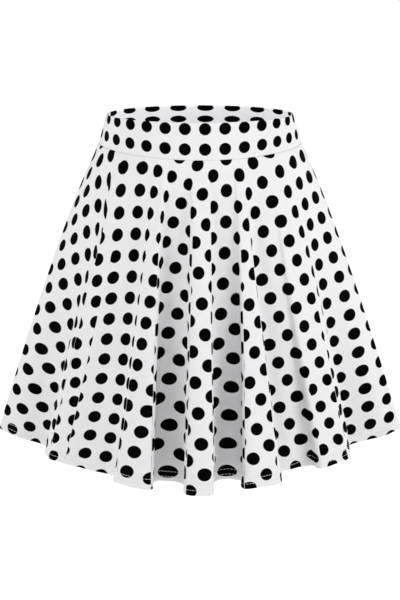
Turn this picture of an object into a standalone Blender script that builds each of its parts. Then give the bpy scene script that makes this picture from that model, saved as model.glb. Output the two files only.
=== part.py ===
"""A waisted flared mini skirt: a two-piece waistband on two ring-cut panels that fall in soft folds.

Metres, +Z up, the front faces -Y and the wearer's left is +X. The origin is the centre of the
waistband at mid height. An angle on the garment is the parameter of its level ellipse, in
degrees from the centre front (-Y), growing towards +X.
"""
import math

import bmesh
import bpy
from mathutils import Vector

# Waistband
BAND_HEIGHT = 0.0437
BAND_WALL = 0.0026
BAND_ROUNDING_STEPS = 4
WAIST_HALF_WIDTH = 0.1185
WAIST_HALF_DEPTH = 0.0925

# Skirt panels
SEAM_HALF_WIDTH = 0.1295
SEAM_HALF_DEPTH = 0.1070
SEAM_SIDE_RISE = 0.0075
HEM_HALF_WIDTH = 0.2300
HEM_HALF_DEPTH = 0.1620
PANEL_LENGTH = 0.407
HIP_SPRING = 0.86
CLOTH_WALL = 0.0016
SEAM_GAP = 0.0003
FOLD_GROWTH = 0.90
CREASE_ROUNDING = 0.42

# Resolution of the solids
BAND_STEPS = 40
CREASE_STEPS = 3
PANEL_LEVELS = (0.0, 0.05, 0.12, 0.20, 0.29, 0.39, 0.50, 0.62, 0.75, 0.88, 1.0)

# One row for each fold face, going round from the side seam on -X. An edge has its angle at
# the waist seam, its angle at the hem and its reach at the hem, in mm outside the plain cone.
# A face starts to stand off at this share of the panel's length.
FACE_COLUMNS = (
    "name",
    "left_waist", "left_hem", "left_reach",
    "right_waist", "right_hem", "right_reach",
    "start",
)
FRONT_FACES = (
    ("side_crest_right", -90.0, -90.0, 43, -88.0, -88.5, 38, 0.04),
    ("hollow_01", -58.0, -81.0, -18, -50.5, -77.0, -24, 0.02),
    ("crest_1", -46.5, -62.0, -3, -37.0, -54.5, -14, 0.03),
    ("hollow_12", -33.0, -46.0, -25, -26.0, -31.0, -27, 0.03),
    ("crest_2", -23.0, -28.5, 1, -18.5, -12.5, 22, 0.02),
    ("hollow_23", -16.5, -17.5, -34, -5.0, -4.7, -26, 0.03),
    ("crest_3", -3.6, -5.0, 33, 4.6, 5.1, 38, 0.02),
    ("hollow_34", 5.7, 2.4, -30, 17.0, 16.5, -31, 0.03),
    ("crest_4", 19.0, 11.5, 13, 22.5, 27.5, 2, 0.02),
    ("hollow_45", 25.0, 29.0, -37, 37.0, 41.5, -37, 0.03),
    ("crest_5", 40.0, 47.0, -20, 51.0, 61.0, -5, 0.03),
    ("hollow_56", 55.0, 79.0, -34, 62.0, 84.0, -24, 0.02),
    ("side_crest_left", 88.0, 88.5, 38, 90.0, 90.0, 43, 0.04),
)
BACK_FACES = (
    ("side_crest_left", 90.0, 90.0, 43, 96.0, 99.0, 35, 0.04),
    ("side_face_left", 99.0, 104.0, 15, 107.5, 104.5, -10, 0.02),
    ("hollow_67", 111.0, 106.0, -26, 121.5, 112.0, -30, 0.03),
    ("crest_7", 125.0, 118.0, 4, 135.0, 131.0, 14, 0.04),
    ("hollow_78", 137.0, 132.5, -30, 146.0, 143.0, -27, 0.06),
    ("crest_8", 148.5, 144.5, 13, 160.0, 160.5, 20, 0.03),
    ("hollow_89", 162.0, 158.5, -28, 171.0, 170.0, -26, 0.05),
    ("crest_9", 173.0, 169.5, 27, 184.5, 184.5, 23, 0.02),
    ("hollow_910", 187.0, 183.0, -29, 195.5, 195.0, -25, 0.04),
    ("crest_10", 198.0, 195.0, 17, 210.0, 211.5, 12, 0.03),
    ("hollow_1011", 212.0, 209.5, -26, 222.0, 222.0, -30, 0.06),
    ("crest_11", 225.0, 224.0, 12, 236.0, 239.0, 4, 0.04),
    ("hollow_1112", 239.5, 246.0, -28, 250.5, 252.0, -22, 0.03),
    ("side_face_right", 254.0, 254.5, -4, 261.0, 257.0, 18, 0.02),
    ("side_crest_right", 264.0, 262.0, 34, 270.0, 270.0, 43, 0.04),
)


def clear_scene():
    for thing in list(bpy.data.objects):
        bpy.data.objects.remove(thing, do_unlink=True)


def mix(a, b, share):
    return a + (b - a) * share


def cloth_material(name, colour, roughness):
    material = bpy.data.materials.new(name)
    material.use_nodes = True
    shader = material.node_tree.nodes["Principled BSDF"]
    shader.inputs["Base Color"].default_value = (*colour, 1.0)
    shader.inputs["Roughness"].default_value = roughness
    shader.inputs["Metallic"].default_value = 0.0
    return material


def on_ellipse(angle, half_width, half_depth, reach, height):
    """The point at an angle of a level ellipse, moved out along the ellipse's normal."""
    sine = math.sin(math.radians(angle))
    cosine = math.cos(math.radians(angle))
    normal = Vector((sine / half_width, -cosine / half_depth, 0.0)).normalized()
    return Vector((half_width * sine, -half_depth * cosine, height)) + normal * reach


def face_edges(faces, level):
    """The fold edges at one level of a panel, as (angle, reach) in degrees and metres."""
    edges = []
    for values in faces:
        face = dict(zip(FACE_COLUMNS, values))
        grown = max(0.0, (level - face["start"]) / (1.0 - face["start"])) ** FOLD_GROWTH
        for side in ("left", "right"):
            angle = mix(face[side + "_waist"], face[side + "_hem"], level)
            reach = 0.001 * face[side + "_reach"] * grown
            edges.append((angle, reach))
    return edges


def bend(before, corner, after, steps):
    """Points of a rounded corner between two fold edges, as (angle, reach)."""
    start = [mix(corner[i], before[i], CREASE_ROUNDING) for i in (0, 1)]
    end = [mix(corner[i], after[i], CREASE_ROUNDING) for i in (0, 1)]
    points = []
    for step in range(steps + 1):
        t = step / steps
        weights = ((1.0 - t) ** 2, 2.0 * t * (1.0 - t), t ** 2)
        points.append([sum(w * p[i] for w, p in zip(weights, (start, corner, end))) for i in (0, 1)])
    return points


def level_line(faces, level):
    """The folded line of a panel at one level, from seam to seam, as (angle, reach)."""
    edges = face_edges(faces, level)
    line = [edges[0]]
    for before, corner, after in zip(edges, edges[1:], edges[2:]):
        line.extend(bend(before, corner, after, CREASE_STEPS - 1))
    line.append(edges[-1])
    return line


def seam_rise(angle):
    """How much higher the waistband's seam is than at the centre front, for the hips."""
    return SEAM_SIDE_RISE * math.sin(math.radians(angle)) ** 2


def panel_point(angle, reach, level):
    """A point of the cloth's face; a level's drop is what the length along the cloth leaves."""
    spring = level ** HIP_SPRING
    half_width = mix(SEAM_HALF_WIDTH, HEM_HALF_WIDTH, spring)
    half_depth = mix(SEAM_HALF_DEPTH, HEM_HALF_DEPTH, spring)
    flare_x = (half_width - SEAM_HALF_WIDTH) * math.sin(math.radians(angle))
    flare_y = (half_depth - SEAM_HALF_DEPTH) * math.cos(math.radians(angle))
    travel = math.hypot(flare_x, flare_y) + reach
    length = PANEL_LENGTH + seam_rise(angle)
    drop = math.sqrt((level * length) ** 2 - travel ** 2) if level else 0.0
    top = seam_rise(angle) - BAND_HEIGHT / 2 - SEAM_GAP
    return on_ellipse(angle, half_width, half_depth, reach, top - drop)


def surface_normal(grid, row, column):
    rows, columns = len(grid), len(grid[0])
    along = grid[row][min(column + 1, columns - 1)] - grid[row][max(column - 1, 0)]
    down = grid[min(row + 1, rows - 1)][column] - grid[max(row - 1, 0)][column]
    return down.cross(along).normalized()


def finish_solid(name, shape, material):
    bmesh.ops.triangulate(shape, faces=shape.faces)
    mesh = bpy.data.meshes.new(name)
    shape.to_mesh(mesh)
    shape.free()
    mesh.materials.append(material)
    mesh.shade_smooth()
    mesh.set_sharp_from_angle(angle=math.radians(50))
    piece = bpy.data.objects.new(name, mesh)
    bpy.context.scene.collection.objects.link(piece)
    return piece


def solid_from_faces(name, outer, inner, material):
    """A closed solid between two equal grids of points, whose rows run down the garment."""
    rows, columns = len(outer), len(outer[0])
    shape = bmesh.new()
    front = [[shape.verts.new(point) for point in line] for line in outer]
    back = [[shape.verts.new(point) for point in line] for line in inner]
    for r in range(rows - 1):
        for c in range(columns - 1):
            shape.faces.new((front[r][c], front[r + 1][c], front[r + 1][c + 1], front[r][c + 1]))
            shape.faces.new((back[r][c], back[r][c + 1], back[r + 1][c + 1], back[r + 1][c]))
    for c in range(columns - 1):
        shape.faces.new((front[0][c], front[0][c + 1], back[0][c + 1], back[0][c]))
        shape.faces.new((front[-1][c], back[-1][c], back[-1][c + 1], front[-1][c + 1]))
    for r in range(rows - 1):
        shape.faces.new((front[r][0], back[r][0], back[r + 1][0], front[r + 1][0]))
        shape.faces.new((front[r][-1], front[r + 1][-1], back[r + 1][-1], back[r][-1]))
    return finish_solid(name, shape, material)


def side_gap(angle, first_angle, last_angle, half_depth):
    """The angle, kept half a seam gap inside the two side seams."""
    inset = math.degrees(SEAM_GAP / 2 / half_depth)
    return min(max(angle, first_angle + inset), last_angle - inset)


def skirt_panel(name, faces, material):
    """One panel of cloth: its face is folded, and its back is the face moved in by the wall."""
    first_angle, last_angle = faces[0][1], faces[-1][4]
    outer = []
    for level in PANEL_LEVELS:
        line = level_line(faces, level)
        half_depth = mix(SEAM_HALF_DEPTH, HEM_HALF_DEPTH, level ** HIP_SPRING)
        outer.append([
            panel_point(side_gap(angle, first_angle, last_angle, half_depth), reach, level)
            for angle, reach in line
        ])
    inner = []
    for r, line in enumerate(outer):
        inner.append([])
        for c, point in enumerate(line):
            normal = surface_normal(outer, r, c)
            if r == 0:
                normal.z = 0.0
            if c in (0, len(line) - 1):
                normal.y = 0.0
            inner[-1].append(point - normal.normalized() * CLOTH_WALL)
    return solid_from_faces(name, outer, inner, material)


def band_point(angle, share, inset):
    """A point of the waistband; share runs from its top, 0, to its bottom, 1."""
    half_width = mix(WAIST_HALF_WIDTH, SEAM_HALF_WIDTH, share)
    half_depth = mix(WAIST_HALF_DEPTH, SEAM_HALF_DEPTH, share)
    height = BAND_HEIGHT * (0.5 - share) + seam_rise(angle) * share
    return on_ellipse(angle, half_width, half_depth, -inset, height)


def band_section():
    """The band's cross-section as (share, inset): one doubled strip, folded round at its top."""
    radius = BAND_WALL / 2
    section = [(1.0, 0.0), (0.5, 0.0)]
    for step in range(2 * BAND_ROUNDING_STEPS + 1):
        turn = math.radians(90.0 - 90.0 * step / BAND_ROUNDING_STEPS)
        section.append((radius * (1.0 - math.cos(turn)) / BAND_HEIGHT, radius * (1.0 - math.sin(turn))))
    section += [(0.5, BAND_WALL), (1.0, BAND_WALL)]
    return section


def waistband(name, first_angle, last_angle, material):
    section = band_section()
    shape = bmesh.new()
    rings = []
    for step in range(BAND_STEPS + 1):
        angle = mix(first_angle, last_angle, step / BAND_STEPS)
        angle = side_gap(angle, first_angle, last_angle, WAIST_HALF_DEPTH)
        rings.append([shape.verts.new(band_point(angle, *place)) for place in section])
    for ring, following in zip(rings, rings[1:]):
        for i in range(len(section)):
            j = (i + 1) % len(section)
            shape.faces.new((ring[i], following[i], following[j], ring[j]))
    shape.faces.new(rings[0])
    shape.faces.new(reversed(rings[-1]))
    return finish_solid(name, shape, material)


clear_scene()
jersey = cloth_material("white_dotted_jersey", (0.86, 0.86, 0.87), 0.85)
band_jersey = cloth_material("white_dotted_band_jersey", (0.84, 0.84, 0.85), 0.85)
waistband("waistband_front", -90.0, 90.0, band_jersey)
waistband("waistband_back", 90.0, 270.0, band_jersey)
skirt_panel("skirt_front", FRONT_FACES, jersey)
skirt_panel("skirt_back", BACK_FACES, jersey)
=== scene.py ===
"""The looks of a flared mini skirt: dotted jersey shells on the waistband's and panels' solids.

Metres, +Z up, the front faces -Y. An angle on the garment is the parameter of its level ellipse,
in degrees from the centre front, growing towards +X. A level is a share of the panel's length,
0 at the waistband and 1 at the hem.
"""
import math

import bpy
import numpy as np
from mathutils import Euler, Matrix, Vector


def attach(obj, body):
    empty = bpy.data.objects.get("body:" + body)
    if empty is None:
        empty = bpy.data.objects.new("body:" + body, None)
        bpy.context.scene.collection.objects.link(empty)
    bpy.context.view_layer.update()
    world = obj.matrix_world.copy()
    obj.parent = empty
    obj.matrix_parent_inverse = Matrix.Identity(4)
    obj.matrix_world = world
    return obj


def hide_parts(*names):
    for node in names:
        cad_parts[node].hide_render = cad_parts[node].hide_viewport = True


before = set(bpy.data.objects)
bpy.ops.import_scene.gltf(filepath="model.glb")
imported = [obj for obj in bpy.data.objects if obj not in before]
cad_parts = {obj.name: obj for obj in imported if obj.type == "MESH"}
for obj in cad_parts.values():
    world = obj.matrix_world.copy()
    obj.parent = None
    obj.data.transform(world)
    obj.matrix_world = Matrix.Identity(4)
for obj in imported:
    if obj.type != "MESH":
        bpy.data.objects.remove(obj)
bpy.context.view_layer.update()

# Waistband
BAND_HEIGHT = 0.0437
BAND_WALL = 0.0026
WAIST_HALF_WIDTH = 0.1185
WAIST_HALF_DEPTH = 0.0925

# Skirt panels
SEAM_HALF_WIDTH = 0.1295
SEAM_HALF_DEPTH = 0.1070
SEAM_SIDE_RISE = 0.0075
HEM_HALF_WIDTH = 0.2300
HEM_HALF_DEPTH = 0.1620
PANEL_LENGTH = 0.407
HIP_SPRING = 0.86
SEAM_GAP = 0.0001
FOLD_GROWTH = 0.90
CREASE_ROUNDING = 0.42

# Cloth and sewing
CLOTH_THICKNESS = 0.0013
CLOTH_EDGE_FULLNESS = 0.985
HEM_TURN_UP = 0.0165
HEM_TURN_THICKNESS = 0.0009
HEM_TURN_STEP = 0.0004
STEP_LIMIT = 50.0
STITCH_ROWS = (0.0068, 0.0135)
STITCH_GROOVE_DEPTH = 0.00035
STITCH_GROOVE_WIDTH = 0.0008
STITCH_LENGTH = 0.0032
STITCH_SPACING = 0.0041
STITCH_BOW = 0.5
THREAD_RADIUS = 0.00028
THREAD_SIDES = 6
THREAD_WHITE = (0.80, 0.80, 0.81)
THREAD_DARKEST = 0.9
THREAD_ROUGHNESS = 0.6
THREAD_SHEEN = 0.1
TWIST_SCALE = 2600.0
TWIST_STRENGTH = 0.4
TWIST_DEPTH = 0.00005
SEAM_ROLL_DEPTH = 0.0007
SEAM_ROLL_WIDTH = 0.0012

# Creases and hem waves
CREASE_TAPER = 0.8
CREASE_TOP_SPREAD = 0.6
RIPPLE_STARTS = 0.55
RIPPLE_FADE = 1.6
CALM_AT_SIDE_SEAM = 0.02
CALM_AT_WAIST_SEAM = 0.012

# Print: a dot's radius, edge and bleed, and the scales of its noises, are shares of the pitch
DOT_PITCH = 0.0248
DOT_RADIUS = 0.304
DOT_EDGE = 0.012
DOT_BLEED = 0.02
BAND_DOT_PITCH = 0.0245
BAND_DOT_SHIFT = -0.25
BAND_DOT_FIRST_ROW = 0.0078
BAND_DOT_ROW_PITCH = 0.0236
BAND_DOT_SIDE_RISE = 0.0035
INSIDE_DOT_PITCH_ACROSS = 0.0372
INSIDE_DOT_PITCH_DOWN = 0.0158
INSIDE_DOT_SHIFT = 0.0074
INSIDE_DOT_FIRST_ROW = 0.0026
WHITE = (0.81, 0.81, 0.82)
BLACK = (0.0006, 0.0006, 0.0008)
# Painted light: the band's inside is given a lighter white than the cloth and a glow, so it looks
# lit where little light reaches it.
BAND_INSIDE_PAINTED_LIGHT_WHITE = (0.93, 0.93, 0.95)
BAND_INSIDE_PAINTED_GLOW = 0.24
WRONG_SIDE_WHITE = (0.74, 0.74, 0.76)
WRONG_SIDE_DOT = (0.16, 0.16, 0.17)
WRONG_SIDE_DOT_SHARE = 0.35

# Surface of the jersey: a pair is the ground's value and the dots'
JERSEY_ROUGHNESS = (0.88, 0.80)
JERSEY_SHINE = (0.08, 0.03)
JERSEY_SHEEN = (0.02, 0.0)
JERSEY_SHEEN_ROUGHNESS = 0.5
MOTTLE_SCALE = 2.2
MOTTLE_RANGE = (0.3, 0.7)
MOTTLE_DARKEST = 0.975
FLECK_SCALE = 46.0
FLECK_RANGE = (0.62, 0.72)
FLECK_GAIN = 1.6
FLECK_LIFT = 0.001
BLEED_SCALE = 34.0
WALE_SCALE = 22.0 / 3.18
COURSE_SCALE = 22.0 / 2.4
COURSE_SHARE = 0.5
FUZZ_SCALE = 60.0
KNIT_DISTORTION = 0.4
KNIT_STRENGTH = 0.5
KNIT_DEPTH = 0.00009

# Camera: worked out from the photograph
CAMERA_PLACE = (0.0, -1.70, 0.2279)
CAMERA_PITCH = 14.9
CAMERA_LENS = 79.86
SENSOR_WIDTH = 36.0

# Floor and light
FLOOR_HEIGHT = -1.0
FLOOR_RADIUS = 90.0
FLOOR_SIDES = 96
FLOOR_WHITE = (0.84, 0.84, 0.84)
FLOOR_DARKEST = 0.99
FLOOR_CLOUD_SCALE = 0.6
FLOOR_ROUGHNESS = 0.95
FLOOR_GLOW = 0.52
FLOOR_POOL_CENTRE = (0.0, -0.9, 0.0)
FLOOR_POOL_RADIUS = 0.90
FLOOR_GLOW_FULL_RADIUS = 1.50
DOME_STRENGTH = 0.61
# Place, target, width, height and watts of each softbox
SOFTBOXES = (
    ("right_softbox", (2.3, -1.5, 0.9), (0.0, 0.0, -0.25), 1.2, 1.8, 28.0),
    ("left_softbox", (-2.3, -1.5, 0.9), (0.0, 0.0, -0.25), 1.2, 1.8, 19.5),
    ("top_softbox", (0.0, -0.9, 2.4), (0.0, 0.0, -0.25), 1.6, 1.2, 4.0),
)

# One row for each fold face, going round from the side seam on -X. An edge has its angle at
# the waist seam, its angle at the hem and its reach at the hem, in mm outside the plain cone.
# A face starts to stand off at this share of the panel's length.
FACE_COLUMNS = (
    "name",
    "left_waist", "left_hem", "left_reach",
    "right_waist", "right_hem", "right_reach",
    "start",
)
FRONT_FACES = (
    ("side_crest_right", -90.0, -90.0, 43, -88.0, -88.5, 38, 0.04),
    ("hollow_01", -58.0, -81.0, -18, -50.5, -77.0, -24, 0.02),
    ("crest_1", -46.5, -62.0, -3, -37.0, -54.5, -14, 0.03),
    ("hollow_12", -33.0, -46.0, -25, -26.0, -31.0, -27, 0.03),
    ("crest_2", -23.0, -28.5, 1, -18.5, -12.5, 22, 0.02),
    ("hollow_23", -16.5, -17.5, -34, -5.0, -4.7, -26, 0.03),
    ("crest_3", -3.6, -5.0, 33, 4.6, 5.1, 38, 0.02),
    ("hollow_34", 5.7, 2.4, -30, 17.0, 16.5, -31, 0.03),
    ("crest_4", 19.0, 11.5, 13, 22.5, 27.5, 2, 0.02),
    ("hollow_45", 25.0, 29.0, -37, 37.0, 41.5, -37, 0.03),
    ("crest_5", 40.0, 47.0, -20, 51.0, 61.0, -5, 0.03),
    ("hollow_56", 55.0, 79.0, -34, 62.0, 84.0, -24, 0.02),
    ("side_crest_left", 88.0, 88.5, 38, 90.0, 90.0, 43, 0.04),
)
BACK_FACES = (
    ("side_crest_left", 90.0, 90.0, 43, 96.0, 99.0, 35, 0.04),
    ("side_face_left", 99.0, 104.0, 15, 107.5, 104.5, -10, 0.02),
    ("hollow_67", 111.0, 106.0, -26, 121.5, 112.0, -30, 0.03),
    ("crest_7", 125.0, 118.0, 4, 135.0, 131.0, 14, 0.04),
    ("hollow_78", 137.0, 132.5, -30, 146.0, 143.0, -27, 0.06),
    ("crest_8", 148.5, 144.5, 13, 160.0, 160.5, 20, 0.03),
    ("hollow_89", 162.0, 158.5, -28, 171.0, 170.0, -26, 0.05),
    ("crest_9", 173.0, 169.5, 27, 184.5, 184.5, 23, 0.02),
    ("hollow_910", 187.0, 183.0, -29, 195.5, 195.0, -25, 0.04),
    ("crest_10", 198.0, 195.0, 17, 210.0, 211.5, 12, 0.03),
    ("hollow_1011", 212.0, 209.5, -26, 222.0, 222.0, -30, 0.06),
    ("crest_11", 225.0, 224.0, 12, 236.0, 239.0, 4, 0.04),
    ("hollow_1112", 239.5, 246.0, -28, 250.5, 252.0, -22, 0.03),
    ("side_face_right", 254.0, 254.5, -4, 261.0, 257.0, 18, 0.02),
    ("side_crest_right", 264.0, 262.0, 34, 270.0, 270.0, 43, 0.04),
)

# Where the print lies on each fold face of the front, charted. The cloth was cut as part of
# a ring, so a row has the angle of that cut, in degrees, under the middle of the face at the waist
# seam, half way down and at the hem, and how many times wider than its pitch the print has been
# drawn out across the face at the hem. The walls between the faces take up the rest.
FRONT_CUT_COLUMNS = ("face", "waist", "middle", "hem", "drawn_out")
FRONT_CUT = (
    ("side_crest_right", -43.0, -34.0, -33.2, 1.0),
    ("hollow_01", -17.5, -24.5, -26.0, 1.0),
    ("crest_1", -8.0, -10.5, -10.8, 1.1),
    ("hollow_12", 1.5, -1.5, -0.4, 1.25),
    ("crest_2", 11.5, 8.5, 9.5, 1.5),
    ("hollow_23", 22.0, 22.0, 23.1, 1.9),
    ("crest_3", 32.5, 35.0, 36.4, 1.2),
    ("hollow_34", 42.5, 46.0, 46.8, 1.6),
    ("crest_4", 51.0, 56.0, 56.5, 1.2),
    ("hollow_45", 60.5, 66.0, 65.9, 1.0),
    ("crest_5", 71.5, 74.5, 74.0, 1.1),
    ("hollow_56", 81.0, 85.0, 86.5, 1.0),
    ("side_crest_left", 99.0, 93.6, 94.0, 1.0),
)
# How far the print has crept up there, in pitches, at a few angles of the cut.
FRONT_LIFT_COLUMNS = ("cut_angle", "waist", "middle", "hem")
FRONT_LIFT = (
    (-35.0, 0.35, 0.35, 0.6),
    (-25.0, 0.7, 0.45, 0.5),
    (-16.0, 0.6, 0.3, 0.1),
    (-12.0, 0.0, -0.2, -0.25),
    (-1.0, 0.0, 0.2, 0.0),
    (9.0, 0.0, 0.4, 0.02),
    (23.0, 0.0, 0.7, 0.2),
    (37.0, 0.2, 0.45, 0.1),
    (50.0, 0.2, 0.35, 0.05),
    (65.0, 0.0, 0.2, -0.2),
    (74.0, 0.0, 0.15, 0.0),
    (95.0, 0.0, 0.1, 0.0),
)
# In pitches: the centre of the cut's ring, its radius at the waist seam, and how it grows
FRONT_CUT_APEX = (1.0, 1.0)
FRONT_CUT_INNER_RADIUS = 5.5
FRONT_PITCHES_DOWN = (14.1, 1.3)
# The levels between which the folds come to hide cloth, so that the print breaks at their crests
BREAK_STARTS = 0.12
BREAK_FULL = 0.36

# Resolution of the shells
SEAM_SHARES = np.array([0.0, 0.12, 0.3, 0.6])
BEND_SHARES = np.array([0.0, 0.125, 0.25, 0.375, 0.47, 0.5, 0.53, 0.625, 0.75, 0.875, 1.0])
PANEL_LEVELS = 84
PLAIN_LEVELS = (0.012, 0.945)
FROM_WAIST_SEAM = (0.0, 0.0005, 0.0011, 0.0020, 0.0032)
FROM_HEM_EDGE = (0.0, 0.0003, 0.0008, 0.002, 0.004)
ABOVE_HEM_TURN = (-0.0006, 0.0006, 0.0035)
ACROSS_GROOVE = (-2.0, -1.0, 0.0, 1.0, 2.0)
COLUMN_TOLERANCE = 1e-6
BAND_STEPS = 120
BAND_LEVELS = 22
PLAIN_FROM_BAND_TOP = 0.005
PLAIN_FROM_BAND_SEAM = 0.004
FROM_BAND_TOP = (0.0, 0.00012, 0.0004, 0.0008, 0.0013, 0.002, 0.003)
FROM_BAND_SEAM = (0.0026, 0.0016, 0.0008, 0.0003, 0.0)
# Share of a stitch's length, and its fullness there
STITCH_STATIONS = np.array([(0.0, 0.35), (0.12, 0.85), (0.5, 1.0), (0.88, 0.85), (1.0, 0.35)])


def mix(a, b, share):
    return a + (b - a) * share


def smooth_bump(distance, width):
    """1 at no distance, falling smoothly to about 0 at twice the width."""
    return np.exp(-(distance / width) ** 2)


# ---------------------------------------------------------------- the folded surface

def edge_columns(faces):
    """The fold edges of a panel as arrays: angle at the waist, at the hem, reach, start."""
    rows = [dict(zip(FACE_COLUMNS, values)) for values in faces]
    edges = [
        (row[side + "_waist"], row[side + "_hem"], 0.001 * row[side + "_reach"], row["start"])
        for row in rows for side in ("left", "right")
    ]
    return np.array(edges).T


def down_the_panel(waist, middle, hem, levels):
    """The smooth curve through a value at the waist seam, half way down and at the hem."""
    u = levels[:, None]
    waist_share = (1.0 - u) * (1.0 - 2.0 * u)
    middle_share = 4.0 * u * (1.0 - u)
    hem_share = u * (2.0 * u - 1.0)
    return waist * waist_share + middle * middle_share + hem * hem_share


def cut_radius(levels):
    """The radius of the front's cut at each level, in pitches of the print."""
    even, growing = FRONT_PITCHES_DOWN
    return FRONT_CUT_INNER_RADIUS + even * levels + growing * levels ** 2


def folded_lines(faces, levels):
    """(angle, reach) along the folded line at each level, rounded at fold edges."""
    waist, hem, reach, start = edge_columns(faces)
    u = levels[:, None]
    grown = np.clip((u - start) / (1.0 - start), 0.0, 1.0) ** FOLD_GROWTH
    angle = mix(waist, hem, u)
    reach = reach * grown
    edges = np.stack([angle, reach], axis=-1)
    before, corner, after = edges[:, :-2, None], edges[:, 1:-1, None], edges[:, 2:, None]
    t = BEND_SHARES[:, None]
    bend = (
        (1.0 - t) ** 2 * mix(corner, before, CREASE_ROUNDING)
        + 2.0 * t * (1.0 - t) * corner
        + t ** 2 * mix(corner, after, CREASE_ROUNDING)
    )
    bends = bend.reshape(len(levels), -1, 2)
    shares = SEAM_SHARES[:, None]
    first = mix(edges[:, :1], bends[:, :1], shares)
    last = mix(edges[:, -1:], bends[:, -1:], shares)[:, ::-1]
    return np.concatenate([first, bends, last], axis=1)


def on_ellipse(angle, half_width, half_depth, reach):
    """X and Y at an angle of a level ellipse, moved out along the ellipse's normal."""
    sine, cosine = np.sin(np.radians(angle)), np.cos(np.radians(angle))
    normal_x, normal_y = sine / half_width, -cosine / half_depth
    length = np.hypot(normal_x, normal_y)
    x = half_width * sine + reach * normal_x / length
    y = -half_depth * cosine + reach * normal_y / length
    return x, y


def seam_rise(angle):
    """How much higher the waistband's seam is than at the centre front."""
    return SEAM_SIDE_RISE * np.sin(np.radians(angle)) ** 2


def panel_points(angle, reach, levels):
    """The cloth's face; a level's drop is what the length along the cloth leaves."""
    spring = (levels ** HIP_SPRING)[:, None]
    half_width = mix(SEAM_HALF_WIDTH, HEM_HALF_WIDTH, spring)
    half_depth = mix(SEAM_HALF_DEPTH, HEM_HALF_DEPTH, spring)
    flare_x = (half_width - SEAM_HALF_WIDTH) * np.sin(np.radians(angle))
    flare_y = (half_depth - SEAM_HALF_DEPTH) * np.cos(np.radians(angle))
    travel = np.hypot(flare_x, flare_y) + reach
    rise = seam_rise(angle)
    length = levels[:, None] * (PANEL_LENGTH + rise)
    drop = np.sqrt(np.maximum(length ** 2 - travel ** 2, 0.0))
    x, y = on_ellipse(angle, half_width, half_depth, reach)
    return np.stack([x, y, rise - BAND_HEIGHT / 2 - SEAM_GAP - drop], axis=-1)


def grid_normals(points):
    """Outward normals of a grid whose rows run down and whose columns run towards +X in front."""
    down = np.gradient(points, axis=0)
    along = np.gradient(points, axis=1)
    normals = np.cross(down, along)
    return normals / np.linalg.norm(normals, axis=-1, keepdims=True)


def panel_levels():
    """Levels down a panel, closer at the waist seam, at the stitch rows and at the hem edge."""
    hem = list(FROM_HEM_EDGE)
    hem += [row + step * STITCH_GROOVE_WIDTH for row in STITCH_ROWS for step in ACROSS_GROOVE]
    hem += [HEM_TURN_UP + step for step in ABOVE_HEM_TURN]
    levels = np.concatenate([
        np.linspace(*PLAIN_LEVELS, PANEL_LEVELS),
        1.0 - np.array(hem) / PANEL_LENGTH,
        np.array(FROM_WAIST_SEAM) / PANEL_LENGTH,
    ])
    return np.sort(levels)


# ---------------------------------------------------------------- meshes

def new_piece(name, points, quads, materials, face_material=None, corner_uvs=None):
    mesh = bpy.data.meshes.new(name)
    mesh.from_pydata(points.tolist(), [], quads.tolist())
    for material in materials:
        mesh.materials.append(material)
    if face_material is not None:
        mesh.polygons.foreach_set("material_index", face_material.astype(np.int32))
    if corner_uvs is not None:
        layer = mesh.uv_layers.new(name="print")
        layer.data.foreach_set("uv", corner_uvs.reshape(-1).astype(np.float32))
    mesh.shade_smooth()
    mesh.update()
    piece = bpy.data.objects.new(name, mesh)
    bpy.context.scene.collection.objects.link(piece)
    return piece


def grid_quads(rows, columns, first=0, flip=False):
    index = first + np.arange(rows * columns).reshape(rows, columns)
    quads = np.stack([index[:-1, :-1], index[1:, :-1], index[1:, 1:], index[:-1, 1:]], axis=-1)
    quads = quads.reshape(-1, 4)
    return quads[:, ::-1] if flip else quads


def border_quads(rows, columns):
    """Quads that close the rim between an outer grid and the inner grid stored after it."""
    outer = np.arange(rows * columns).reshape(rows, columns)
    inner = outer + rows * columns
    strips = []
    for out_line, in_line in (
        (outer[0], inner[0]),
        (outer[:, -1], inner[:, -1]),
        (outer[-1, ::-1], inner[-1, ::-1]),
        (outer[::-1, 0], inner[::-1, 0]),
    ):
        strips.append(np.stack([out_line[:-1], out_line[1:], in_line[1:], in_line[:-1]], axis=-1))
    return np.concatenate(strips)


def shell(name, outer, inner, uv, materials, inner_uv=None):
    """A closed shell of cloth: its face, its back and the rim, with the print on face and back."""
    inner_uv = uv if inner_uv is None else inner_uv
    rows, columns = outer.shape[:2]
    points = np.concatenate([outer.reshape(-1, 3), inner.reshape(-1, 3)])
    face = grid_quads(rows, columns)
    back = grid_quads(rows, columns, first=rows * columns, flip=True)
    rim = border_quads(rows, columns)
    quads = np.concatenate([face, back, rim])
    face_material = np.concatenate([
        np.zeros(len(face)), np.ones(len(back)), np.zeros(len(rim)),
    ])
    point_uv = np.concatenate([uv.reshape(-1, 2), inner_uv.reshape(-1, 2)])
    return new_piece(name, points, quads, materials, face_material, point_uv[quads])


def column_coordinates(faces):
    """Each column's place along the folded line, counted in fold edges."""
    count = 2 * len(faces)
    bends = np.arange(1, count - 1)[:, None] + CREASE_ROUNDING * (2.0 * BEND_SHARES - 1.0)
    bends = bends.reshape(-1)
    first = mix(0.0, bends[0], SEAM_SHARES)
    last = mix(count - 1.0, bends[-1], SEAM_SHARES)[::-1]
    return np.concatenate([first, bends, last])


def arc_lengths(points):
    steps = np.linalg.norm(np.diff(points, axis=1), axis=-1)
    return np.concatenate([np.zeros((len(points), 1)), np.cumsum(steps, axis=1)], axis=1)


# ---------------------------------------------------------------- creases

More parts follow.
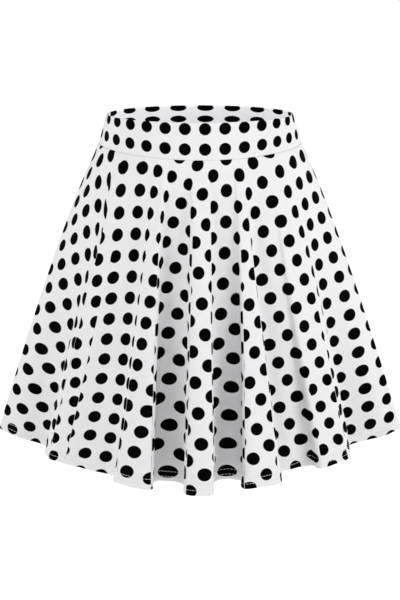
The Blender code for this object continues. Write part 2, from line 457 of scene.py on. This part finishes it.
def crease_offsets(creases, coordinates, arcs, levels):
    """The height of soft ridges and troughs over a panel's grid."""
    offset = np.zeros_like(arcs)
    for top_place, low_place, top, low, height, width in creases:
        share = (levels - top) / (low - top)
        taper = np.where((share > 0.0) & (share < 1.0), np.sin(np.pi * np.clip(share, 0, 1)), 0.0)
        taper = taper ** CREASE_TAPER
        place = mix(top_place, low_place, np.clip(share, 0.0, 1.0))
        centre = np.array([np.interp(p, coordinates, row) for p, row in zip(place, arcs)])
        distance = arcs - centre[:, None]
        spread = 0.001 * width * mix(CREASE_TOP_SPREAD, 1.0, np.clip(share, 0.0, 1.0))[:, None]
        offset += 0.001 * height * taper[:, None] * smooth_bump(distance, spread)
    return offset


def hem_ripple(arcs, levels, waves):
    """Slow uneven waves that the free hem takes, fading upwards."""
    below_start = np.clip((levels - RIPPLE_STARTS) / (1.0 - RIPPLE_STARTS), 0.0, 1.0)
    fade = below_start[:, None] ** RIPPLE_FADE
    ripple = np.zeros_like(arcs)
    for height, length, phase in waves:
        ripple += 0.001 * height * np.sin(2.0 * np.pi * (arcs / length + phase))
    return ripple * fade


# ---------------------------------------------------------------- skirt panels

def seam_roll(distance):
    """How deep the cloth rolls in at a distance from a seam."""
    return SEAM_ROLL_DEPTH * np.exp(-distance / SEAM_ROLL_WIDTH)


def edge_profile(distance, thickness):
    """Half the thickness of a rounded cloth edge at a distance from it."""
    radius = thickness / 2.0
    inside = np.clip(1.0 - distance / radius, 0.0, CLOTH_EDGE_FULLNESS)
    return radius * np.sqrt(1.0 - inside ** 2)


def panel_grid(faces, levels, creases, waves):
    """The outer and inner surfaces of a panel, and each point's length along its level."""
    lines = folded_lines(faces, levels)
    points = panel_points(lines[..., 0], lines[..., 1], levels)
    arcs = arc_lengths(points)
    normals = grid_normals(points)
    coordinates = column_coordinates(faces)
    raised = crease_offsets(creases, coordinates, arcs, levels) + hem_ripple(arcs, levels, waves)
    from_side = np.minimum(arcs, arcs[:, -1:] - arcs)
    raised *= np.clip(from_side / CALM_AT_SIDE_SEAM, 0.0, 1.0) ** 2
    from_top = (levels * PANEL_LENGTH)[:, None]
    from_hem = ((1.0 - levels) * PANEL_LENGTH)[:, None]
    raised *= np.clip(from_top / CALM_AT_WAIST_SEAM, 0.0, 1.0)
    middle = points + normals * raised[..., None]
    normals = grid_normals(middle)
    sunk = seam_roll(from_side) + seam_roll(from_top)
    for row in STITCH_ROWS:
        sunk = sunk + STITCH_GROOVE_DEPTH * smooth_bump(from_hem - row, STITCH_GROOVE_WIDTH)
    past_turn = (from_hem - HEM_TURN_UP) / HEM_TURN_STEP
    past_turn = np.clip(past_turn, -STEP_LIMIT, STEP_LIMIT)
    turned = 1.0 / (1.0 + np.exp(past_turn))
    thickness = CLOTH_THICKNESS + HEM_TURN_THICKNESS * turned
    half = edge_profile(from_hem, thickness)
    outer = middle - normals * (sunk + thickness / 2.0 - half)[..., None]
    inner = middle - normals * (sunk + thickness / 2.0 + half)[..., None]
    return outer, inner, arcs


def front_cut(arcs, levels):
    """The angle of the front's cut at each point.

    A fold hides some of the cloth, so a wall carries the print of the hollow beside it as far as
    the edge of the crest, and the print starts again there. Near the waist, where no fold has
    begun, and on the two side panels the print runs on from face to face.
    """
    waist, middle, hem, drawn_out = np.array([row[1:] for row in FRONT_CUT]).T
    reach = edge_columns(FRONT_FACES)[2]
    coordinates = column_coordinates(FRONT_FACES)
    edge = np.floor(coordinates + COLUMN_TOLERANCE).astype(int).clip(0, len(reach) - 2)
    beside_hollow = np.where(reach[edge] < reach[edge + 1], edge, edge + 1)
    on_wall = (edge % 2 == 1) & (coordinates > edge + COLUMN_TOLERANCE)
    face = np.where(on_wall, beside_hollow, edge) // 2
    at_edges = arcs[:, np.searchsorted(coordinates, np.arange(len(reach)) - COLUMN_TOLERANCE)]
    face_middles = (at_edges[:, ::2] + at_edges[:, 1::2]) / 2.0
    pitch = DOT_PITCH * mix(1.0, drawn_out, levels[:, None] ** 2)
    degrees = np.degrees(1.0 / (pitch * cut_radius(levels)[:, None]))
    middles = down_the_panel(waist, middle, hem, levels)
    cut = middles[:, face] + (arcs - face_middles[:, face]) * degrees[:, face]
    broken = np.clip((levels[:, None] - BREAK_STARTS) / (BREAK_FULL - BREAK_STARTS), 0.0, 1.0)
    for first in range(1, len(reach) - 1, 2):
        ends = np.searchsorted(coordinates, np.array([first, first + 1]) - COLUMN_TOLERANCE)
        wall = slice(ends[0], ends[1] + 1)
        start, stop = arcs[:, ends[:1]], arcs[:, ends[1:]]
        first_cut, last_cut = (
            middles[:, [f]] + (a - face_middles[:, [f]]) * degrees[:, [f]]
            for f, a in ((first // 2, start), (first // 2 + 1, stop))
        )
        run_on = mix(first_cut, last_cut, (arcs[:, wall] - start) / (stop - start))
        side_panel = first in (1, len(reach) - 3)
        cut[:, wall] = run_on if side_panel else mix(run_on, cut[:, wall], broken)
    return cut


def front_print(cut, levels):
    """The front's print: the pitch lattice laid over the ring from which it was cut."""
    at_angles, *lifts = np.array(FRONT_LIFT).T
    lift = down_the_panel(*(np.interp(cut, at_angles, lift) for lift in lifts), levels)
    radius = cut_radius(levels)[:, None] + lift
    angle = np.radians(cut)
    x = FRONT_CUT_APEX[0] + radius * np.cos(angle)
    y = FRONT_CUT_APEX[1] + radius * np.sin(angle)
    return np.stack([x, y], axis=-1)


def back_print(arcs, levels):
    """The back's print: its ring laid flat without stretching it."""
    seam_length, hem_length = arcs[0, -1], arcs[-1, -1]
    turn = (hem_length - seam_length) / PANEL_LENGTH
    radius = (seam_length / turn + levels * PANEL_LENGTH)[:, None] / DOT_PITCH
    angle = turn * (arcs / arcs[:, -1:] - 0.5)
    return np.stack([radius * np.sin(angle), -radius * np.cos(angle)], axis=-1)


# ---------------------------------------------------------------- waistband

def band_grid(first_angle, last_angle):
    """The doubled band: its outer and inner surfaces, and each row's distance from its top."""
    downs = np.concatenate([
        FROM_BAND_TOP,
        np.linspace(PLAIN_FROM_BAND_TOP, BAND_HEIGHT - PLAIN_FROM_BAND_SEAM, BAND_LEVELS),
        BAND_HEIGHT - np.array(FROM_BAND_SEAM),
    ])
    share = (downs / BAND_HEIGHT)[:, None]
    angle = np.linspace(first_angle, last_angle, BAND_STEPS)[None, :]
    x, y = on_ellipse(
        angle,
        mix(WAIST_HALF_WIDTH, SEAM_HALF_WIDTH, share),
        mix(WAIST_HALF_DEPTH, SEAM_HALF_DEPTH, share),
        0.0,
    )
    z = BAND_HEIGHT * (0.5 - share) + seam_rise(angle) * share
    points = np.stack([x, y, z], axis=-1)
    arcs = arc_lengths(points)
    normals = grid_normals(points)
    from_side = np.minimum(arcs, arcs[:, -1:] - arcs)
    sunk = seam_roll(from_side) + seam_roll(BAND_HEIGHT - downs)[:, None]
    half = edge_profile(downs, BAND_WALL)[:, None]
    outer = points - normals * (sunk + BAND_WALL / 2.0 - half)[..., None]
    inner = points - normals * (BAND_WALL / 2.0 + half)[..., None]
    return outer, inner, arcs, downs


# ---------------------------------------------------------------- thread

def on_grid(grid, coordinate_rows, row_value, column_values, columns):
    """Points of a grid at one level and at arc lengths along it."""
    index = np.interp(row_value, coordinate_rows, np.arange(len(coordinate_rows)))
    low = int(min(index, len(grid) - 2))
    line = mix(grid[low], grid[low + 1], index - low)
    arc = mix(columns[low], columns[low + 1], index - low)
    return np.stack([np.interp(column_values, arc, line[:, axis]) for axis in range(3)], axis=-1)


def stitch_run(name, centres_and_ends, material):
    """Short rounded threads, one for each pair of ends, joined in one mesh."""
    ring = THREAD_SIDES
    angles = np.linspace(0.0, 2.0 * np.pi, ring, endpoint=False)
    across, upward = np.cos(angles)[:, None], np.sin(angles)[:, None]
    points, quads = [], []
    for start, end, normal in centres_and_ends:
        along = end - start
        side = np.cross(along, normal)
        side /= np.linalg.norm(side)
        first = len(points) * ring
        for share, fullness in STITCH_STATIONS:
            bow = THREAD_RADIUS * STITCH_BOW * np.sin(np.pi * share)
            centre = start + along * share + normal * bow
            points.append(centre + THREAD_RADIUS * fullness * (across * side + upward * normal))
        for station in range(len(STITCH_STATIONS) - 1):
            a = first + station * ring + np.arange(ring)
            b = first + station * ring + (np.arange(ring) + 1) % ring
            quads.append(np.stack([a, a + ring, b + ring, b], axis=-1))
    return new_piece(name, np.concatenate(points), np.concatenate(quads), [material])


def hem_stitches(name, outer, arcs, levels, material):
    """The two rows of needle thread round the hem."""
    runs = []
    normals = grid_normals(outer)
    for row in STITCH_ROWS:
        level = 1.0 - row / PANEL_LENGTH
        length = arcs[-1, -1]
        starts = np.arange(STITCH_SPACING, length - 2.0 * STITCH_SPACING, STITCH_SPACING)
        first = on_grid(outer, levels, level, starts, arcs)
        last = on_grid(outer, levels, level, starts + STITCH_LENGTH, arcs)
        normal = on_grid(normals, levels, level, starts, arcs)
        runs += list(zip(first, last, normal))
    return stitch_run(name, runs, material)


# ---------------------------------------------------------------- materials

class Graph:
    """A material's nodes, added one at a time, with plain values or sockets as inputs."""

    def __init__(self, name):
        self.material = bpy.data.materials.new(name)
        self.material.use_nodes = True
        self.nodes = self.material.node_tree.nodes
        self.links = self.material.node_tree.links
        self.nodes.clear()

    def add(self, kind, inputs=(), **settings):
        node = self.nodes.new(kind)
        for key, value in settings.items():
            setattr(node, key, value)
        for key, value in dict(inputs).items():
            if isinstance(value, bpy.types.NodeSocket):
                self.links.new(value, node.inputs[key])
            else:
                node.inputs[key].default_value = value
        return node

    def maths(self, operation, a, b=0.0):
        return self.add("ShaderNodeMath", {0: a, 1: b}, operation=operation).outputs[0]

    def noise(self, place, scale, detail=2.0):
        inputs = {"Vector": place, "Scale": scale, "Detail": detail}
        return self.add("ShaderNodeTexNoise", inputs)

    def remap(self, value, low, high, to_low, to_high):
        inputs = {
            "Value": value, "From Min": low, "From Max": high, "To Min": to_low, "To Max": to_high,
        }
        return self.add("ShaderNodeMapRange", inputs).outputs["Result"]

    def vector(self, operation, a, b, output=0):
        """A vector sum, or a scaling where the second value is one number."""
        inputs = {0: a, "Scale": b} if operation == "SCALE" else {0: a, 1: b}
        return self.add("ShaderNodeVectorMath", inputs, operation=operation).outputs[output]

    def knit_wave(self, place, scale, direction):
        inputs = {"Vector": place, "Scale": scale, "Distortion": KNIT_DISTORTION, "Detail": 1.0}
        return self.add("ShaderNodeTexWave", inputs, bands_direction=direction).outputs["Fac"]

    def blend(self, share, a, b):
        node = self.add("ShaderNodeMix", data_type="RGBA")
        for socket, value in zip((node.inputs[0], node.inputs[6], node.inputs[7]), (share, a, b)):
            if isinstance(value, bpy.types.NodeSocket):
                self.links.new(value, socket)
            else:
                socket.default_value = value
        return node.outputs[2]


def rgb(red, green, blue):
    return (red, green, blue, 1.0)


def dotted_jersey(name, white, black, dot_share=1.0, glow=0.0):
    """Knitted jersey with a dot at each whole number of its print coordinates.

    Its glow is painted light, standing in for the light that comes through the cloth from behind.
    """
    graph = Graph(name)
    place = graph.add("ShaderNodeUVMap", uv_map="print").outputs["UV"]
    bleed = graph.noise(place, BLEED_SCALE, 3.0).outputs["Color"]
    bleed = graph.vector("SUBTRACT", bleed, (0.5, 0.5, 0.5))
    bleed = graph.vector("SCALE", bleed, DOT_BLEED)
    moved = graph.vector("ADD", graph.vector("ADD", place, bleed), (0.5, 0.5, 0.0))
    cell = graph.vector("FRACTION", moved, (0.0, 0.0, 0.0))
    cell = graph.vector("SUBTRACT", cell, (0.5, 0.5, 0.0))
    flat = graph.vector("MULTIPLY", cell, (1.0, 1.0, 0.0))
    from_centre = graph.vector("LENGTH", flat, (0.0, 0.0, 0.0), "Value")
    dot = graph.remap(from_centre, DOT_RADIUS - DOT_EDGE, DOT_RADIUS + DOT_EDGE, dot_share, 0.0)

    cloudy = graph.noise(place, MOTTLE_SCALE).outputs["Fac"]
    mottle = graph.remap(cloudy, *MOTTLE_RANGE, 0.0, 1.0)
    ground = graph.blend(mottle, rgb(*[MOTTLE_DARKEST * c for c in white]), rgb(*white))
    speckled = graph.noise(place, FLECK_SCALE, 1.0).outputs["Fac"]
    fleck = graph.remap(speckled, *FLECK_RANGE, 0.0, 1.0)
    ink = graph.blend(fleck, rgb(*black), rgb(*[FLECK_GAIN * c + FLECK_LIFT for c in black]))
    colour = graph.blend(dot, ground, ink)

    wale = graph.knit_wave(place, WALE_SCALE, "X")
    course = graph.knit_wave(place, COURSE_SCALE, "Y")
    knit = graph.maths("ADD", wale, graph.maths("MULTIPLY", course, COURSE_SHARE))
    relief = graph.maths("ADD", knit, graph.noise(place, FUZZ_SCALE).outputs["Fac"])
    bump = graph.add("ShaderNodeBump", {
        "Height": relief, "Strength": KNIT_STRENGTH, "Distance": KNIT_DEPTH,
    })
    shader = graph.add("ShaderNodeBsdfPrincipled", {
        "Base Color": colour, "Roughness": graph.remap(dot, 0.0, 1.0, *JERSEY_ROUGHNESS),
        "Normal": bump.outputs["Normal"],
        "Specular IOR Level": graph.remap(dot, 0.0, 1.0, *JERSEY_SHINE),
        "Sheen Weight": graph.remap(dot, 0.0, 1.0, *JERSEY_SHEEN),
        "Sheen Roughness": JERSEY_SHEEN_ROUGHNESS,
        "Emission Color": colour, "Emission Strength": glow,
    })
    output = graph.add("ShaderNodeOutputMaterial")
    graph.links.new(shader.outputs[0], output.inputs["Surface"])
    return graph.material


def thread(name, colour):
    """Spun sewing thread, faintly mottled along its twist."""
    graph = Graph(name)
    place = graph.add("ShaderNodeTexCoord").outputs["Object"]
    twist = graph.noise(place, TWIST_SCALE, 1.0).outputs["Fac"]
    mixed = graph.blend(twist, rgb(*[THREAD_DARKEST * c for c in colour]), rgb(*colour))
    bump = graph.add("ShaderNodeBump", {
        "Height": twist, "Strength": TWIST_STRENGTH, "Distance": TWIST_DEPTH,
    })
    shader = graph.add("ShaderNodeBsdfPrincipled", {
        "Base Color": mixed, "Roughness": THREAD_ROUGHNESS, "Normal": bump.outputs["Normal"],
        "Sheen Weight": THREAD_SHEEN,
    })
    output = graph.add("ShaderNodeOutputMaterial")
    graph.links.new(shader.outputs[0], output.inputs["Surface"])
    return graph.material


def floor_material(name, colour, roughness):
    """Pale paper, lit from within but for a pool that keeps light from below off the cloth."""
    graph = Graph(name)
    place = graph.add("ShaderNodeTexCoord").outputs["Object"]
    cloudy = graph.noise(place, FLOOR_CLOUD_SCALE).outputs["Fac"]
    mixed = graph.blend(cloudy, rgb(*[FLOOR_DARKEST * c for c in colour]), rgb(*colour))
    level = graph.vector("MULTIPLY", place, (1.0, 1.0, 0.0))
    from_pool = graph.vector("DISTANCE", level, FLOOR_POOL_CENTRE, "Value")
    glow = graph.remap(from_pool, FLOOR_POOL_RADIUS, FLOOR_GLOW_FULL_RADIUS, 0.0, FLOOR_GLOW)
    shader = graph.add("ShaderNodeBsdfPrincipled", {
        "Base Color": mixed, "Roughness": roughness, "Specular IOR Level": 0.0,
        "Emission Color": rgb(1.0, 1.0, 1.0), "Emission Strength": glow,
    })
    output = graph.add("ShaderNodeOutputMaterial")
    graph.links.new(shader.outputs[0], output.inputs["Surface"])
    return graph.material


jersey = dotted_jersey("dotted_jersey", WHITE, BLACK)
jersey_wrong_side = dotted_jersey(
    "dotted_jersey_wrong_side", WRONG_SIDE_WHITE, WRONG_SIDE_DOT, WRONG_SIDE_DOT_SHARE,
)
# Painted light: a lighter, glowing copy of the jersey, used for the band's inside.
band_inside_painted_light = dotted_jersey(
    "dotted_jersey_band_inside_painted_light", BAND_INSIDE_PAINTED_LIGHT_WHITE, BLACK, glow=BAND_INSIDE_PAINTED_GLOW,
)
white_thread = thread("white_thread", THREAD_WHITE)


# ---------------------------------------------------------------- pieces

# A soft ridge, or with a height below 0 a trough: its place along the fold line at its top and
# low ends, counted in fold edges from the panel's first, the levels of those ends, and its height
# and half width in mm.
FRONT_CREASES = (
    (1.6, 1.5, 0.00, 0.30, 1.6, 8), (2.3, 2.5, 0.00, 0.22, -1.4, 7),
    (3.6, 3.5, 0.00, 0.24, 1.5, 7), (4.6, 4.5, 0.01, 0.30, -1.2, 7),
    (6.4, 6.5, 0.00, 0.20, 1.3, 7), (8.5, 8.5, 0.00, 0.26, -1.2, 6),
    (10.4, 10.5, 0.00, 0.24, 1.2, 6), (12.5, 12.5, 0.01, 0.30, -1.4, 7),
    (16.5, 16.5, 0.00, 0.25, 1.3, 6), (18.4, 18.5, 0.00, 0.22, -1.3, 7),
    (20.5, 20.4, 0.00, 0.34, 1.6, 8), (21.6, 21.5, 0.00, 0.26, -1.6, 8),
    (22.5, 22.6, 0.02, 0.40, 1.6, 9), (23.4, 23.4, 0.05, 0.45, -1.5, 10),
    (1.3, 1.35, 0.30, 1.05, 2.2, 20), (1.7, 1.65, 0.45, 1.10, -2.0, 18),
    (3.5, 3.45, 0.35, 1.10, 1.8, 18), (4.4, 4.6, 0.40, 1.08, -1.6, 13),
    (8.4, 8.6, 0.35, 1.10, 1.4, 15), (12.4, 12.6, 0.30, 1.05, 1.4, 16),
    (16.4, 16.6, 0.45, 1.10, -1.3, 14), (17.9, 18.3, 0.08, 1.50, -9.0, 20),
    (19.6, 20.0, 0.08, 1.50, 4.0, 9), (19.3, 19.75, 0.12, 1.60, -2.6, 4),
    (19.45, 19.60, 0.45, 1.50, -4.5, 8), (19.1, 19.2, 0.60, 1.50, -8.0, 18),
    (14.5, 14.5, 0.50, 1.50, -10.0, 15),
    (20.6, 20.6, 0.40, 1.10, -1.6, 14), (21.4, 21.5, 0.30, 1.05, 2.0, 18),
    (23.6, 23.6, 0.35, 1.10, 2.2, 20),
)
BACK_CREASES = (
    (1.5, 1.5, 0.00, 0.28, 1.4, 8), (3.4, 3.5, 0.00, 0.24, -1.3, 7),
    (4.6, 4.5, 0.00, 0.22, 1.4, 7), (6.4, 6.5, 0.01, 0.28, -1.2, 7),
    (8.5, 8.5, 0.00, 0.24, 1.2, 6), (10.5, 10.4, 0.00, 0.20, -1.3, 7),
    (12.4, 12.5, 0.00, 0.27, 1.4, 7), (14.5, 14.4, 0.00, 0.24, -1.2, 6),
    (16.6, 16.5, 0.01, 0.30, 1.3, 7), (18.4, 18.5, 0.00, 0.22, -1.3, 7),
    (20.5, 20.5, 0.00, 0.26, 1.3, 6), (22.5, 22.6, 0.00, 0.24, -1.4, 7),
    (24.4, 24.5, 0.00, 0.30, 1.5, 8), (26.5, 26.5, 0.00, 0.26, -1.3, 8),
    (1.5, 1.5, 0.35, 1.10, 1.8, 16), (6.5, 6.6, 0.40, 1.08, 1.5, 14),
    (10.4, 10.5, 0.35, 1.10, -1.4, 14), (14.5, 14.5, 0.45, 1.10, 1.5, 15),
    (18.5, 18.4, 0.35, 1.08, 1.6, 14), (22.4, 22.5, 0.40, 1.10, -1.4, 13),
    (27.5, 27.5, 0.35, 1.10, 1.8, 16),
)
# Height in mm, length in metres and phase of each wave of the hem.
FRONT_WAVES = ((0.9, 0.083, 0.10), (0.6, 0.051, 0.45), (0.35, 0.029, 0.80))
BACK_WAVES = ((0.9, 0.091, 0.62), (0.6, 0.047, 0.20), (0.35, 0.031, 0.35))

levels = panel_levels()
front_outer, front_inner, front_arcs = panel_grid(
    FRONT_FACES, levels, FRONT_CREASES, FRONT_WAVES,
)
back_outer, back_inner, back_arcs = panel_grid(BACK_FACES, levels, BACK_CREASES, BACK_WAVES)
skirt_front = shell(
    "front_panel_cloth", front_outer, front_inner,
    front_print(front_cut(front_arcs, levels), levels),
    [jersey, jersey_wrong_side],
)
skirt_back = shell(
    "back_panel_cloth", back_outer, back_inner, back_print(back_arcs, levels),
    [jersey, jersey_wrong_side],
)
front_stitches = hem_stitches("front_hem_thread", front_outer, front_arcs, levels, white_thread)
back_stitches = hem_stitches("back_hem_thread", back_outer, back_arcs, levels, white_thread)


def band_shell(name, first_angle, last_angle):
    """Half the waistband and its length, with round dots outside and wide ones inside."""
    outer, inner, arcs, downs = band_grid(first_angle, last_angle)
    centre = arcs[:, -1:] / 2.0
    across = arcs - centre
    down = np.broadcast_to(downs[:, None], across.shape)
    to_side = np.sin(np.radians(np.linspace(first_angle, last_angle, BAND_STEPS)))
    rise = BAND_DOT_SIDE_RISE * to_side ** 2
    outside = np.stack([
        across / BAND_DOT_PITCH + BAND_DOT_SHIFT,
        (down + rise - BAND_DOT_FIRST_ROW) / BAND_DOT_ROW_PITCH,
    ], axis=-1)
    inside = np.stack([
        (across + INSIDE_DOT_SHIFT) / INSIDE_DOT_PITCH_ACROSS,
        (down - INSIDE_DOT_FIRST_ROW) / INSIDE_DOT_PITCH_DOWN,
    ], axis=-1)
    middle_length = float(arcs[len(arcs) // 2, -1])
    return shell(name, outer, inner, outside, [jersey, band_inside_painted_light], inside), middle_length


band_front, band_front_length = band_shell("front_band_cloth", -90.0, 90.0)
band_back, band_back_length = band_shell("back_band_cloth", 90.0, 270.0)

PIECES = (
    (skirt_front, "skirt_front", "skirt_jersey"),
    (skirt_back, "skirt_back", "skirt_jersey"),
    (band_front, "waistband_front", "band_jersey"),
    (band_back, "waistband_back", "band_jersey"),
)
for piece, node, slot in PIECES:
    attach(piece, "root")
    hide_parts(node)
for piece in (front_stitches, back_stitches):
    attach(piece, "root")


# ---------------------------------------------------------------- floor, light and camera

def pale_floor():
    turns = np.linspace(0.0, 2.0 * np.pi, FLOOR_SIDES, endpoint=False)
    x, y = FLOOR_RADIUS * np.cos(turns), FLOOR_RADIUS * np.sin(turns)
    points = np.stack([x, y, np.full(FLOOR_SIDES, FLOOR_HEIGHT)], axis=-1)
    mesh = bpy.data.meshes.new("floor")
    mesh.from_pydata(points.tolist(), [], [list(range(FLOOR_SIDES))])
    mesh.materials.append(floor_material("pale_floor", FLOOR_WHITE, FLOOR_ROUGHNESS))
    floor = bpy.data.objects.new("floor", mesh)
    bpy.context.scene.collection.objects.link(floor)


def softbox(name, place, target, width, height, watts):
    light = bpy.data.lights.new(name, "AREA")
    light.shape = "RECTANGLE"
    light.size, light.size_y = width, height
    light.energy = watts
    lamp = bpy.data.objects.new(name, light)
    lamp.location = place
    lamp.rotation_euler = (Vector(target) - Vector(place)).to_track_quat("-Z", "Y").to_euler()
    bpy.context.scene.collection.objects.link(lamp)


pale_floor()
for name, place, target, width, height, watts in SOFTBOXES:
    softbox(name, place, target, width, height, watts)

world = bpy.data.worlds.new("studio")
world.use_nodes = True
world.node_tree.nodes["Background"].inputs["Color"].default_value = rgb(1.0, 1.0, 1.0)
world.node_tree.nodes["Background"].inputs["Strength"].default_value = DOME_STRENGTH
bpy.context.scene.world = world
bpy.context.scene.view_settings.view_transform = "Standard"

camera_data = bpy.data.cameras.new("camera")
camera_data.sensor_width = SENSOR_WIDTH
camera_data.lens = CAMERA_LENS
camera = bpy.data.objects.new("camera", camera_data)
camera.location = CAMERA_PLACE
camera.rotation_euler = Euler((math.radians(90.0 - CAMERA_PITCH), 0.0, 0.0))
bpy.context.scene.collection.objects.link(camera)
bpy.context.scene.camera = camera
